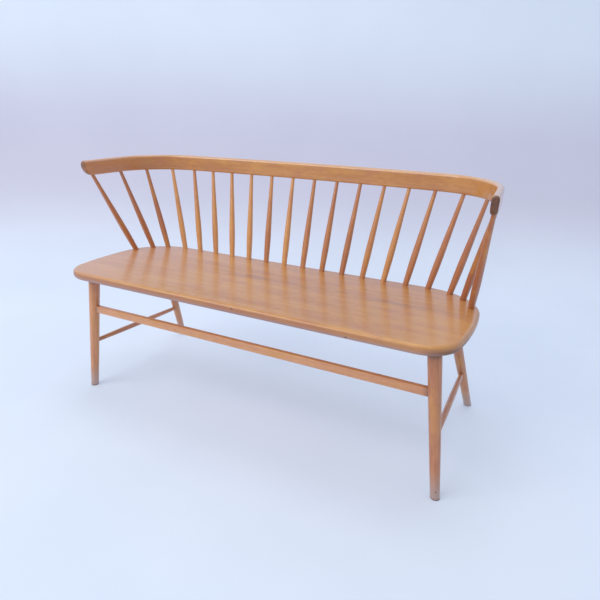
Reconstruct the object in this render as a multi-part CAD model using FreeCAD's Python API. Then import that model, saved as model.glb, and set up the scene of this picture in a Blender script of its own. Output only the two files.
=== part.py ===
import FreeCAD
import Part
import math
import os

# A spindle-back bench: a glued-up plank seat on four splayed legs, with a fan of turned
# spindles under one bent rail that comes forward at both ends as short arms.
# Lengths are in millimetres and angles in degrees. While it is drawn, X = 0 is the mirror
# plane, Y = 0 is the front edge of the seat and Z = 0 is the floor.

# Seat: four boards glued edge to edge, then shaped as one plank
seat_height = 430.0
seat_length = 1194.0
seat_depth = 442.0
seat_thickness = 24.0
seat_board_count = 4
seat_front_corner_radius = 90.0
seat_back_corner_radius = 160.0
seat_end_bow_radius = 930.0
seat_widest_from_front = 254.0
seat_top_rounding = 10.0
seat_under_rounding = 8.0

# Legs: turned, straight just under the seat and tapered all the way down from there
leg_diameter = 33.5
leg_foot_diameter = 24.2
leg_straight_length = 40.0
leg_tenon_diameter = 22.0
leg_tenon_depth = 17.0
leg_foot_easing = 1.2
front_leg_inset = 75.0
front_leg_end_inset = 74.0
front_leg_splay = 54.0
front_leg_rake = 2.0
rear_leg_inset = 64.0
rear_leg_end_inset = 85.0
rear_leg_splay = 85.0
rear_leg_rake = 202.0

# Front stretcher: a flat bar let into the front legs
front_stretcher_height = 22.5
front_stretcher_thickness = 14.0
front_stretcher_easing = 2.0
front_stretcher_level = 288.0
front_stretcher_past_axis = 4.0

# Side stretchers: round bars, fullest in the middle
side_stretcher_diameter = 17.0
side_stretcher_end_diameter = 13.5
side_stretcher_straight_end = 24.0
side_stretcher_front_level = 168.0
side_stretcher_rear_level = 147.0
side_stretcher_past_axis = 3.0

# Bent rail: a bowed back, two corners and two arms that fall a little towards the front
rail_height = 756.5
rail_section_height = 50.0
rail_thickness = 16.8
rail_top_rounding = 8.0
rail_under_rounding = 6.0
rail_underside_fall_angle = 2.3
rail_top_fall_angle = 3.0
rail_end_inset = 4.0
rail_behind_seat = 32.0
rail_back_bow_radius = 5500.0
rail_corner_radius = 177.0
rail_end_from_front = 136.0
rail_end_lower_radius = 32.0
rail_end_upper_radius = 7.0

# Spindles: slender at the rail, fullest below the middle. They are placed from the middle out,
# by shares of half the seat's outline and of half the rail's length.
spindle_foot_shares = (0.0234, 0.0703, 0.1172, 0.1641, 0.2109, 0.2576, 0.3038, 0.3504, 0.3872, 0.4320)
spindle_head_shares = (0.0453, 0.1366, 0.2277, 0.3180, 0.4070, 0.4972, 0.5956, 0.7014, 0.8180, 0.9590)
spindle_foot_inset = 22.0
spindle_foot_diameter = 17.0
spindle_full_diameter = 19.6
spindle_middle_diameter = 17.4
spindle_upper_diameter = 13.6
spindle_head_diameter = 11.0
spindle_full_height_share = 0.26
spindle_middle_height_share = 0.5
spindle_upper_height_share = 0.76
spindle_straight_end = 6.0
spindle_foot_depth = 18.0
spindle_head_housing = 5.0
spindle_head_depth = 16.0
spindle_tenon_diameter = 8.0

# Fits
socket_clearance = 0.1
socket_end_gap = 0.4
overrun = 40.0

UP = FreeCAD.Vector(0, 0, 1)
ACROSS = FreeCAD.Vector(1, 0, 0)
ORIGIN = FreeCAD.Vector(0, 0, 0)


# Plan curves

class StraightRun:
    """A straight stretch of a plan curve."""

    def __init__(self, start, end):
        self.start = start
        self.end = end
        self.length = start.distanceToPoint(end)

    def point(self, distance):
        return self.start + (self.end - self.start) * (distance / self.length)

    def edge(self):
        return Part.makeLine(self.start, self.end)


class Bend:
    """An arc of a plan curve. Its angles turn from +Y towards +X."""

    def __init__(self, centre, radius, start_angle, end_angle):
        self.centre = centre
        self.radius = radius
        self.start_angle = start_angle
        self.end_angle = end_angle
        self.length = radius * (end_angle - start_angle)

    def at_angle(self, angle):
        outward = FreeCAD.Vector(math.sin(angle), math.cos(angle), 0)
        return self.centre + outward * self.radius

    def point(self, distance):
        return self.at_angle(self.start_angle + distance / self.radius)

    def edge(self):
        start = self.at_angle(self.start_angle)
        middle = self.at_angle((self.start_angle + self.end_angle) / 2)
        end = self.at_angle(self.end_angle)
        return Part.Arc(start, middle, end).toShape()


def point_along(stretches, share):
    """The point at a share of the stretches' whole length."""
    distance = share * sum(stretch.length for stretch in stretches)
    for stretch in stretches[:-1]:
        if distance <= stretch.length:
            return stretch.point(distance)
        distance -= stretch.length
    return stretches[-1].point(distance)


def seat_outline(inset):
    """Right half of the seat's plan, from the middle of the back to the middle of the front."""
    back = seat_depth - inset
    bow_centre = FreeCAD.Vector(seat_length / 2 - seat_end_bow_radius, seat_widest_from_front, 0)

    def corner(radius, level):
        rise = level - seat_widest_from_front
        reach = math.sqrt((seat_end_bow_radius - radius) ** 2 - rise ** 2)
        centre = FreeCAD.Vector(bow_centre.x + reach, level, 0)
        return centre, math.atan2(reach, rise)

    rear_centre, rear_angle = corner(seat_back_corner_radius, seat_depth - seat_back_corner_radius)
    front_centre, front_angle = corner(seat_front_corner_radius, seat_front_corner_radius)
    return [
        StraightRun(FreeCAD.Vector(0, back, 0), FreeCAD.Vector(rear_centre.x, back, 0)),
        Bend(rear_centre, seat_back_corner_radius - inset, 0, rear_angle),
        Bend(bow_centre, seat_end_bow_radius - inset, rear_angle, front_angle),
        Bend(front_centre, seat_front_corner_radius - inset, front_angle, math.pi),
        StraightRun(FreeCAD.Vector(front_centre.x, inset, 0), FreeCAD.Vector(0, inset, 0)),
    ]


def rail_line(offset):
    """Right half of a line along the rail in plan, from the middle of the back to the arm's end.
    The offset is how far outside the rail's middle line it runs."""
    back = seat_depth + rail_behind_seat
    half_width = seat_length / 2 - rail_end_inset
    bow_centre = FreeCAD.Vector(0, back - rail_back_bow_radius, 0)
    corner_x = half_width - rail_corner_radius
    reach = math.sqrt((rail_back_bow_radius - rail_corner_radius) ** 2 - corner_x ** 2)
    corner_centre = FreeCAD.Vector(corner_x, bow_centre.y + reach, 0)
    meeting = math.atan2(corner_x, reach)
    arm_x = half_width + offset
    arm_start = FreeCAD.Vector(arm_x, corner_centre.y, 0)
    return [
        Bend(bow_centre, rail_back_bow_radius + offset, 0, meeting),
        Bend(corner_centre, rail_corner_radius + offset, meeting, math.pi / 2),
        StraightRun(arm_start, FreeCAD.Vector(arm_x, rail_end_from_front, 0)),
    ]


def falling_height(back_height, fall_angle, y):
    """Height at y of a plane that falls towards the front from its height at the rail's back."""
    return back_height - (seat_depth + rail_behind_seat - y) * math.tan(math.radians(fall_angle))


def rail_top_at(y):
    return falling_height(rail_height, rail_top_fall_angle, y)


def rail_underside_at(y):
    return falling_height(rail_height - rail_section_height, rail_underside_fall_angle, y)


# Shared helpers

def turned(profile_edges, start, end):
    """A turned piece: the half profile spun about its axis, which then runs from start to end."""
    face = Part.Face(Part.Wire(profile_edges))
    solid = face.revolve(ORIGIN, UP, 360)
    solid.Placement = FreeCAD.Placement(start, FreeCAD.Rotation(UP, end - start))
    return solid


def polyline_edges(points):
    return [Part.makeLine(a, b) for a, b in zip(points, points[1:])]


def rod(radius, start, end, before, after):
    """A plain round bar on the line from start to end, running past both."""
    direction = (end - start).normalize()
    length = start.distanceToPoint(end) + before + after
    return Part.makeCylinder(radius, length, start - direction * before, direction)


def on_line(low, high, level):
    """The point at a level on the line through two points."""
    return low + (high - low) * ((level - low.z) / (high.z - low.z))


def cut_all(solid, tools):
    for tool in tools:
        solid = solid.cut(tool)
    return solid


# Legs and stretchers, on the right-hand side

def leg_lines():
    """Ends of the front and rear legs' axes: on the floor, and at the seat's underside."""
    underside = seat_height - seat_thickness
    front_x = seat_length / 2 - front_leg_end_inset
    rear_x = seat_length / 2 - rear_leg_end_inset
    rear_y = seat_depth - rear_leg_inset
    front = (
        FreeCAD.Vector(front_x + front_leg_splay, front_leg_inset + front_leg_rake, 0),
        FreeCAD.Vector(front_x, front_leg_inset, underside),
    )
    rear = (
        FreeCAD.Vector(rear_x + rear_leg_splay, rear_y + rear_leg_rake, 0),
        FreeCAD.Vector(rear_x, rear_y, underside),
    )
    return front, rear


def leg_body(foot, top):
    """A turned leg, cut level at the floor and at the seat, with its round tenon."""
    length = foot.distanceToPoint(top)
    foot_radius = leg_foot_diameter / 2
    radius = leg_diameter / 2
    taper_end = length - leg_straight_length
    below = -overrun
    foot_radius_below = foot_radius + (radius - foot_radius) * below / taper_end
    points = [
        FreeCAD.Vector(0, 0, below),
        FreeCAD.Vector(foot_radius_below, 0, below),
        FreeCAD.Vector(radius, 0, taper_end),
        FreeCAD.Vector(radius, 0, length + overrun),
        FreeCAD.Vector(0, 0, length + overrun),
        FreeCAD.Vector(0, 0, below),
    ]
    spun = turned(polyline_edges(points), foot, top)
    reach = seat_length + seat_depth + rear_leg_rake
    room = Part.makeBox(2 * reach, 2 * reach, top.z, FreeCAD.Vector(-reach, -reach, 0))
    body = spun.common(room)
    floor_edges = [edge for edge in body.Edges if edge.BoundBox.ZMax < leg_foot_easing / 2]
    body = body.makeChamfer(leg_foot_easing, floor_edges)
    tenon = rod(leg_tenon_diameter / 2, foot, top, -length / 2, leg_tenon_depth)
    return body.fuse(tenon).removeSplitter()


def front_stretcher(front_leg, clearance, end_gap):
    """A flat bar between the front legs with its long edges eased, or the room that it needs."""
    end = on_line(*front_leg, front_stretcher_level)
    half_length = end.x + front_stretcher_past_axis + end_gap
    height = front_stretcher_height + 2 * clearance
    thickness = front_stretcher_thickness + 2 * clearance
    corner = FreeCAD.Vector(-half_length, end.y - thickness / 2, end.z - height / 2)
    bar = Part.makeBox(2 * half_length, thickness, height, corner)
    long_edges = [edge for edge in bar.Edges if edge.Length > half_length]
    return bar.makeFillet(front_stretcher_easing + clearance, long_edges)


def swelled_profile(length, end_radius, full_radius, straight_end, past):
    """Half profile of a round bar that is straight at its ends and fullest in the middle."""
    low = FreeCAD.Vector(end_radius, 0, straight_end)
    high = FreeCAD.Vector(end_radius, 0, length - straight_end)
    swell = Part.Arc(low, FreeCAD.Vector(full_radius, 0, length / 2), high).toShape()
    start = FreeCAD.Vector(end_radius, 0, -past)
    end = FreeCAD.Vector(end_radius, 0, length + past)
    foot = FreeCAD.Vector(0, 0, -past)
    head = FreeCAD.Vector(0, 0, length + past)
    return [
        Part.makeLine(foot, start),
        Part.makeLine(start, low),
        swell,
        Part.makeLine(high, end),
        Part.makeLine(end, head),
        Part.makeLine(head, foot),
    ]


def side_stretcher(front, rear):
    profile = swelled_profile(
        front.distanceToPoint(rear),
        side_stretcher_end_diameter / 2,
        side_stretcher_diameter / 2,
        side_stretcher_straight_end,
        side_stretcher_past_axis,
    )
    return turned(profile, front, rear)


def side_stretcher_socket(front, rear):
    past = side_stretcher_past_axis + socket_end_gap
    return rod(side_stretcher_end_diameter / 2 + socket_clearance, front, rear, past, past)


# Spindles

def spindle_lines():
    """Foot on the seat and head at the rail's underside, for each spindle from the middle out."""
    seat_track = seat_outline(spindle_foot_inset)
    rail_track = rail_line(0)
    lines = []
    for foot_share, head_share in zip(spindle_foot_shares, spindle_head_shares):
        foot = point_along(seat_track, foot_share)
        head = point_along(rail_track, head_share)
        foot.z = seat_height
        head.z = rail_underside_at(head.y)
        lines.append((foot, head))
    return lines


def spindle(foot, head):
    """A turned spindle with its foot and its stepped head, each as deep as its socket lets it go."""
    length = foot.distanceToPoint(head)
    foot_radius = spindle_foot_diameter / 2
    head_radius = spindle_head_diameter / 2
    tenon_radius = spindle_tenon_diameter / 2
    shoulder = length + spindle_head_housing
    low = FreeCAD.Vector(foot_radius, 0, spindle_straight_end)
    full = FreeCAD.Vector(spindle_full_diameter / 2, 0, length * spindle_full_height_share)
    middle = FreeCAD.Vector(spindle_middle_diameter / 2, 0, length * spindle_middle_height_share)
    upper = FreeCAD.Vector(spindle_upper_diameter / 2, 0, length * spindle_upper_height_share)
    high = FreeCAD.Vector(head_radius, 0, length - spindle_straight_end)
    swell = Part.BSplineCurve()
    swell.interpolate(Points=[low, full, middle, upper, high])
    rest = [
        high,
        FreeCAD.Vector(head_radius, 0, shoulder),
        FreeCAD.Vector(tenon_radius, 0, shoulder),
        FreeCAD.Vector(tenon_radius, 0, length + spindle_head_depth),
        FreeCAD.Vector(0, 0, length + spindle_head_depth),
        FreeCAD.Vector(0, 0, -spindle_foot_depth),
        FreeCAD.Vector(foot_radius, 0, -spindle_foot_depth),
        low,
    ]
    return turned([swell.toShape()] + polyline_edges(rest), foot, head)


def spindle_seat_socket(foot, head):
    radius = spindle_foot_diameter / 2 + socket_clearance
    depth = spindle_foot_depth + socket_end_gap
    return rod(radius, foot, head, depth, -foot.distanceToPoint(head) / 2)


def spindle_rail_socket(foot, head):
    """Room for a spindle's head: a housing for its full thickness, and a deeper hole for its tenon."""
    back = -foot.distanceToPoint(head) / 2
    housing_radius = spindle_head_diameter / 2 + socket_clearance
    tenon_radius = spindle_tenon_diameter / 2 + socket_clearance
    housing = rod(housing_radius, foot, head, back, spindle_head_housing + socket_end_gap)
    return housing.fuse(rod(tenon_radius, foot, head, back, spindle_head_depth + socket_end_gap))


# Seat

def whole_seat():
    right = [stretch.edge() for stretch in seat_outline(0)]
    left = [edge.mirror(ORIGIN, ACROSS) for edge in right]
    outline = Part.Wire(Part.__sortEdges__(right + left))
    outline.translate(UP * (seat_height - seat_thickness))
    plank = Part.Face(outline).extrude(UP * seat_thickness).removeSplitter()
    top_edges = [edge for edge in plank.Edges if edge.BoundBox.ZMin > seat_height - seat_thickness / 2]
    plank = plank.makeFillet(seat_top_rounding, top_edges)
    under_edges = [edge for edge in plank.Edges if edge.BoundBox.ZMax < seat_height - seat_thickness * 3 / 4]
    return plank.makeFillet(seat_under_rounding, under_edges)


def seat_boards(sockets):
    """The seat's boards from front to back, with the sockets for legs and spindles."""
    plank = whole_seat()
    board_width = seat_depth / seat_board_count
    boards = []
    for place in range(seat_board_count):
        front = place * board_width
        width = board_width
        if place == 0:
            front -= overrun
            width += overrun
        if place == seat_board_count - 1:
            width += overrun
        corner = FreeCAD.Vector(-seat_length, front, seat_height - seat_thickness - overrun)
        slab = Part.makeBox(2 * seat_length, width, seat_thickness + 2 * overrun, corner)
        board = plank.common(slab)
        near = [tool for tool in sockets if tool.BoundBox.intersect(board.BoundBox)]
        boards.append(cut_all(board, near))
    return boards


# Bent rail

def mirrored_track(stretches):
    """Edges of a plan line and of its mirror image."""
    right = [stretch.edge() for stretch in stretches]
    return right + [edge.mirror(ORIGIN, ACROSS) for edge in right]


def rail_side_view(front, rear):
    """The rail's outline seen from the side, between two levels of Y, as a face at X = 0."""
    points = [
        FreeCAD.Vector(0, front, rail_underside_at(front)),
        FreeCAD.Vector(0, rear, rail_underside_at(rear)),
        FreeCAD.Vector(0, rear, rail_top_at(rear)),
        FreeCAD.Vector(0, front, rail_top_at(front)),
    ]
    return Part.Face(Part.makePolygon(points + points[:1]))


def rail_blank():
    """The bent rail with square edges, its arms longer than needed by the overrun."""
    half = rail_thickness / 2
    walls = []
    ends = []
    for offset in (-half, half):
        track = rail_line(offset)
        end = track[-1].end - FreeCAD.Vector(0, overrun, 0)
        track[-1] = StraightRun(track[-1].start, end)
        walls += mirrored_track(track)
        ends.append(end)
    cap = Part.makeLine(*ends)
    outline = Part.Wire(Part.__sortEdges__(walls + [cap, cap.mirror(ORIGIN, ACROSS)]))
    upright = Part.Face(outline).extrude(UP * (rail_height + overrun))
    reach = seat_length / 2 + rail_thickness
    front = rail_end_from_front - 2 * overrun
    rear = seat_depth + rail_behind_seat + rail_thickness
    slab = rail_side_view(front, rear).extrude(ACROSS * (2 * reach))
    slab.translate(ACROSS * -reach)
    return upright.common(slab).removeSplitter()


def lies_on(edge, height_at):
    """Whether an edge along the rail lies on its top or its underside."""
    if edge.Length < 2 * rail_thickness:
        return False
    tolerance = socket_clearance
    places = (edge.FirstParameter, edge.LastParameter)
    points = [edge.valueAt(place) for place in places]
    return all(abs(point.z - height_at(point.y)) < tolerance for point in points)


def end_cutter():
    """What is cut away in front of the arms, which leaves the rounded shape of their ends."""
    end = rail_end_from_front
    low_y = end + rail_end_lower_radius
    high_y = end + rail_end_upper_radius
    low_z = rail_underside_at(low_y)
    high_z = rail_top_at(high_y)
    bend = 1 - math.sqrt(2) / 2
    low_bend = rail_end_lower_radius * bend
    high_bend = rail_end_upper_radius * bend
    reach = seat_length / 2 + rail_thickness + overrun

    def at(y, z):
        return FreeCAD.Vector(-reach, y, z)

    low_start = at(low_y, low_z)
    low_end = at(end, low_z + rail_end_lower_radius)
    high_start = at(end, high_z - rail_end_upper_radius)
    high_end = at(high_y, high_z)
    front_y = end - 2 * overrun
    rest = [
        high_end,
        at(high_y, high_z + overrun),
        at(front_y, high_z + overrun),
        at(front_y, low_z - overrun),
        at(low_y, low_z - overrun),
        low_start,
    ]
    edges = [
        Part.Arc(low_start, at(end + low_bend, low_z + low_bend), low_end).toShape(),
        Part.makeLine(low_end, high_start),
        Part.Arc(high_start, at(end + high_bend, high_z - high_bend), high_end).toShape(),
    ]
    return Part.Face(Part.Wire(edges + polyline_edges(rest))).extrude(ACROSS * (2 * reach))


def top_rail(sockets):
    """The rail with its long edges rounded, its ends shaped and the spindles' sockets cut."""
    rail = rail_blank()
    rail = rail.makeFillet(rail_top_rounding, [edge for edge in rail.Edges if lies_on(edge, rail_top_at)])
    under_edges = [edge for edge in rail.Edges if lies_on(edge, rail_underside_at)]
    rail = rail.makeFillet(rail_under_rounding, under_edges)
    return cut_all(rail.cut(end_cutter()), sockets)


# Assembly

def both_sides(shape):
    return [shape.mirror(ORIGIN, ACROSS), shape]


def build():
    """Every piece by name, in the drawing's own place."""
    pieces = {}

    def add_pair(left_name, right_name, shape):
        pieces[left_name], pieces[right_name] = both_sides(shape)

    front_leg, rear_leg = leg_lines()
    side_ends = (
        on_line(*front_leg, side_stretcher_front_level),
        on_line(*rear_leg, side_stretcher_rear_level),
    )
    side_socket = side_stretcher_socket(*side_ends)
    front_socket = front_stretcher(front_leg, socket_clearance, socket_end_gap)
    front_body = cut_all(leg_body(*front_leg), [side_socket, front_socket])
    add_pair("leg_front_left", "leg_front_right", front_body)
    add_pair("leg_rear_left", "leg_rear_right", leg_body(*rear_leg).cut(side_socket))
    add_pair("side_stretcher_left", "side_stretcher_right", side_stretcher(*side_ends))
    pieces["front_stretcher"] = front_stretcher(front_leg, 0, 0)

    seat_sockets = []
    rail_sockets = []
    tenon_socket_radius = leg_tenon_diameter / 2 + socket_clearance
    tenon_socket_depth = leg_tenon_depth + socket_end_gap
    for foot, top in (front_leg, rear_leg):
        back = -foot.distanceToPoint(top) / 2
        seat_sockets += both_sides(rod(tenon_socket_radius, foot, top, back, tenon_socket_depth))
    lines = spindle_lines()
    for place, line in enumerate(lines):
        left_name = "spindle_%02d" % (len(lines) - place)
        right_name = "spindle_%02d" % (len(lines) + 1 + place)
        add_pair(left_name, right_name, spindle(*line))
        seat_sockets += both_sides(spindle_seat_socket(*line))
        rail_sockets += both_sides(spindle_rail_socket(*line))

    for place, board in enumerate(seat_boards(seat_sockets)):
        pieces["seat_board_%d" % (place + 1)] = board
    pieces["top_rail"] = top_rail(rail_sockets)
    return pieces


def main():
    os.makedirs("parts", exist_ok=True)
    pieces = build()
    whole = Part.makeCompound(list(pieces.values()))
    box = whole.optimalBoundingBox(False)
    to_origin = FreeCAD.Vector(0, -box.Center.y, -box.ZMin)
    for name, piece in sorted(pieces.items()):
        solid = piece.Solids[0] if len(piece.Solids) == 1 else piece
        solid = solid.copy()
        solid.translate(to_origin)
        solid.exportStep(os.path.join("parts", name + ".step"))
        print(name, len(piece.Solids), round(piece.Volume), piece.isValid())


main()
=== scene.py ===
import math
import random

import bmesh
import bpy
import numpy as np
from mathutils import Matrix, Vector


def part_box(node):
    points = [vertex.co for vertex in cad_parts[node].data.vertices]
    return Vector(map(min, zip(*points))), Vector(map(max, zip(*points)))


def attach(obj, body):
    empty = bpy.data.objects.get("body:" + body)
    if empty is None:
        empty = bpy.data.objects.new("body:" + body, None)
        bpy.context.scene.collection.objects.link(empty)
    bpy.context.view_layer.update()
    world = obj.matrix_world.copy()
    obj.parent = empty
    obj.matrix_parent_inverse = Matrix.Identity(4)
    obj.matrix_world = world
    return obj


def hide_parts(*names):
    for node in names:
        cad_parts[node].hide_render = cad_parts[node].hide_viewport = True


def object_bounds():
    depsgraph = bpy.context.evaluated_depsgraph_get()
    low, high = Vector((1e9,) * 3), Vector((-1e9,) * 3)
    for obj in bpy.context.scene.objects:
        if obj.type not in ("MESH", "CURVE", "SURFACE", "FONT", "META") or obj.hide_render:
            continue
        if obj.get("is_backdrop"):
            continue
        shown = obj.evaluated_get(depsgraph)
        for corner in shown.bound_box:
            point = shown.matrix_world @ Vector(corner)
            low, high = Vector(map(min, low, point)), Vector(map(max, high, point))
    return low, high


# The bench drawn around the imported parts. Lengths are in metres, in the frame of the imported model.
# Drawing places have Y = 0 at the front edge of the seat, so front_y is added to them.
# The seat is drawn as one piece over its boards, since their glued faces don't show.
# A spare is how far a hidden end is drawn past the height where it is stopped level.

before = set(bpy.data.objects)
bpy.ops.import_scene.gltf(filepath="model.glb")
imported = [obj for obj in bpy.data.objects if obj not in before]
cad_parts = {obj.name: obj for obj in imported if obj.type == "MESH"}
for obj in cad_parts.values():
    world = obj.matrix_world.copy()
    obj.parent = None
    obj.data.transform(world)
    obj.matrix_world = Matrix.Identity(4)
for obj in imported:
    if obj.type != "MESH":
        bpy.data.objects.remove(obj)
bounds_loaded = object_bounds()

front_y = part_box("seat_board_1")[0].y

# Seat
seat_top = 0.430
seat_length = 1.194
seat_depth = 0.442
seat_thickness = 0.024
seat_boards = 4
front_corner_radius = 0.090
back_corner_radius = 0.160
end_bow_radius = 0.930
widest_from_front = 0.254
seat_top_rounding = 0.010
seat_under_rounding = 0.008
seat_flat_rim = 0.004
seat_arris_steps = 10
seat_outline_steps = 170

# Legs and stretchers
leg_radius = 0.01675
leg_foot_radius = 0.0121
leg_straight_length = 0.040
leg_foot_easing = 0.0012
leg_hidden_top = 0.001
leg_spare = 0.004
leg_foot_rings = (0.01, 0.02, 0.04)
leg_taper_shares = (0.2, 0.3, 0.4, 0.5, 0.6, 0.7, 0.8, 0.9, 0.96, 0.98, 1.0)
leg_top_shares = (0.1, 0.2, 0.3, 0.38, 0.45, 0.6, 0.72)
leg_sides = 40
leg_ends = {
    "front": (Vector((0.577, 0.077, 0.0)), Vector((0.523, 0.075, 0.406))),
    "rear": (Vector((0.597, 0.580, 0.0)), Vector((0.512, 0.378, 0.406))),
}
front_stretcher_level = 0.288
front_stretcher_height = 0.0225
front_stretcher_thickness = 0.014
front_stretcher_easing = 0.002
front_bar_easing_steps = 4
front_bar_steps = 80
side_stretcher_levels = (0.168, 0.147)
side_stretcher_radius = 0.0085
side_stretcher_end_radius = 0.00675
side_stretcher_straight = 0.024
side_bar_hidden_share = 0.8
side_bar_sides = 28
side_bar_steps = 24

# Rail
rail_height = 0.7565
rail_section_height = 0.050
rail_thickness = 0.0168
rail_top_rounding = 0.008
rail_under_rounding = 0.006
rail_underside_fall = math.tan(math.radians(2.3))
rail_top_fall = math.tan(math.radians(3.0))
rail_half_width = 0.593
rail_behind_seat = 0.032
rail_bow_radius = 5.5
rail_corner_radius = 0.177
rail_end_from_front = 0.136
rail_end_lower_radius = 0.032
rail_end_upper_radius = 0.007
rail_end_easing = 0.0015
rail_end_zone = 0.036
rail_end_steps = 26
rail_steps = 150
rail_rounding_steps = 7
rail_fullest_rounding = 0.98

# Spindles
spindle_foot_shares = (0.0234, 0.0703, 0.1172, 0.1641, 0.2109, 0.2576, 0.3038, 0.3504, 0.3872, 0.4320)
spindle_head_shares = (0.0453, 0.1366, 0.2277, 0.3180, 0.4070, 0.4972, 0.5956, 0.7014, 0.8180, 0.9590)
spindle_foot_inset = 0.022
spindle_radii = ((0.0, 0.0085), (0.26, 0.0098), (0.5, 0.0087), (0.76, 0.0068), (1.0, 0.0055))
spindle_straight_end = 0.006
spindle_hidden_end = 0.003
spindle_spare = 0.006
spindle_sides = 28
spindle_steps = 10
full_turn = 6.28

# Painted shade where pieces meet, painted shadow at the tops of the legs under the seat, painted shade
# at the feet, and darkening at the rail's ends: its strength, and how far it reaches
spindle_joint_shade = 0.12
spindle_joint_shade_reach = 0.003
leg_top_painted_shadow = 2.0
leg_top_shadow_reach = 0.005
leg_shadowed_top = 0.023
leg_foot_painted_shade = 0.8
leg_foot_shade_reach = 0.004
front_bar_joint_shade = 1.8
bar_joint_shade_reach = 0.004
rail_end_darkening = 1.6
rail_end_darkening_reach = 0.003

# How far apart in the wood the small pieces lie, how much they differ in tone, and what edge is crisp
wood_reach = 40
tone_spread = 0.02
crisp_edge_degrees = 38

# A length that is as good as nothing
tiny = 1e-9


# Plan curves, the right-hand half of each

class Run:
    """A straight stretch."""

    def __init__(self, start, end):
        self.start = Vector(start)
        self.end = Vector(end)
        self.length = (self.end - self.start).length

    def at(self, distance):
        way = (self.end - self.start) / self.length
        return self.start + way * distance, Vector((-way.y, way.x))


class Bend:
    """An arc whose angles turn from +Y towards +X."""

    def __init__(self, centre, radius, start, end):
        self.centre = Vector(centre)
        self.radius = radius
        self.start = start
        self.length = radius * (end - start)

    def at(self, distance):
        angle = self.start + distance / self.radius
        outward = Vector((math.sin(angle), math.cos(angle)))
        return self.centre + outward * self.radius, outward


def along(stretches, distance):
    """Point and outward normal at a distance along the stretches."""
    for stretch in stretches[:-1]:
        if distance <= stretch.length:
            return stretch.at(distance)
        distance -= stretch.length
    return stretches[-1].at(distance)


def whole_length(stretches):
    return sum(stretch.length for stretch in stretches)


def seat_outline(inset):
    bow_x = seat_length / 2 - end_bow_radius

    def corner(radius, level):
        rise = level - widest_from_front
        reach = math.sqrt((end_bow_radius - radius) ** 2 - rise ** 2)
        return (bow_x + reach, level), math.atan2(reach, rise)

    rear, rear_angle = corner(back_corner_radius, seat_depth - back_corner_radius)
    front, front_angle = corner(front_corner_radius, front_corner_radius)
    back = seat_depth - inset
    return [
        Run((0, back), (rear[0], back)),
        Bend(rear, back_corner_radius - inset, 0, rear_angle),
        Bend((bow_x, widest_from_front), end_bow_radius - inset, rear_angle, front_angle),
        Bend(front, front_corner_radius - inset, front_angle, math.pi),
        Run((front[0], inset), (0, inset)),
    ]


def rail_line():
    bow_y = seat_depth + rail_behind_seat - rail_bow_radius
    corner_x = rail_half_width - rail_corner_radius
    reach = math.sqrt((rail_bow_radius - rail_corner_radius) ** 2 - corner_x ** 2)
    meeting = math.atan2(corner_x, reach)
    corner_y = bow_y + reach
    return [
        Bend((0, bow_y), rail_bow_radius, 0, meeting),
        Bend((corner_x, corner_y), rail_corner_radius, meeting, math.pi / 2),
        Run((rail_half_width, corner_y), (rail_half_width, rail_end_from_front)),
    ]


def rail_top_at(y):
    return rail_height - (seat_depth + rail_behind_seat - y) * rail_top_fall


def rail_underside_at(y):
    return rail_height - rail_section_height - (seat_depth + rail_behind_seat - y) * rail_underside_fall


# Mesh building

def give(mesh, name, values):
    """Stores a number or a vector for every point of a mesh."""
    values = np.array(values, dtype=np.float32)
    kind, field = ("FLOAT_VECTOR", "vector") if values.ndim == 2 else ("FLOAT", "value")
    mesh.attributes.new(name, kind, "POINT").data.foreach_set(field, values.ravel())


def mesh_object(name, verts, faces, grain, ways, painted_shade_and_end_dark):
    """A mesh with its grain place, its share of cut end grain and its painted shade or end darkening at
    every point.
    """
    mesh = bpy.data.meshes.new(name)
    mesh.from_pydata([tuple(point) for point in verts], [], faces)
    bm = bmesh.new()
    bm.from_mesh(mesh)
    bmesh.ops.recalc_face_normals(bm, faces=bm.faces)
    bm.to_mesh(mesh)
    bm.free()
    give(mesh, "grain", [tuple(value) for value in grain])
    give(mesh, "cut", [abs(vertex.normal.dot(way)) for vertex, way in zip(mesh.vertices, ways)])
    give(mesh, "painted_shade_and_end_dark", painted_shade_and_end_dark)
    for polygon in mesh.polygons:
        polygon.use_smooth = True
    obj = bpy.data.objects.new(name, mesh)
    bpy.context.scene.collection.objects.link(obj)
    return obj


def lofted(name, rings, grain, ways, painted_shade_and_end_dark):
    """A closed skin over rings of points. Each ring has one way along the wood and one share of painted
    shade or end darkening.
    """
    count = len(rings[0])
    verts = [point for ring in rings for point in ring]
    values = [value for ring in grain for value in ring]
    all_ways = [way for way in ways for _ in range(count)]
    all_shade_and_end_dark = [share for share in painted_shade_and_end_dark for _ in range(count)]
    faces = []
    for i in range(len(rings) - 1):
        for j in range(count):
            k = (j + 1) % count
            faces.append((i * count + j, i * count + k, (i + 1) * count + k, (i + 1) * count + j))
    for index, flip in ((0, True), (len(rings) - 1, False)):
        verts.append(sum(rings[index], Vector()) / count)
        values.append(sum((Vector(value) for value in grain[index]), Vector()) / count)
        all_ways.append(ways[index])
        all_shade_and_end_dark.append(0.0)
        hub = len(verts) - 1
        for j in range(count):
            a = index * count + j
            b = index * count + (j + 1) % count
            faces.append((b, a, hub) if flip else (a, b, hub))
    return mesh_object(name, verts, faces, values, all_ways, all_shade_and_end_dark)


def square_to(direction):
    """Two unit vectors across a direction."""
    direction = direction.normalized()
    side = Vector((0, 0, 1)).cross(direction)
    side = side.normalized() if side.length > tiny else Vector((1, 0, 0))
    return side, direction.cross(side).normalized()


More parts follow.
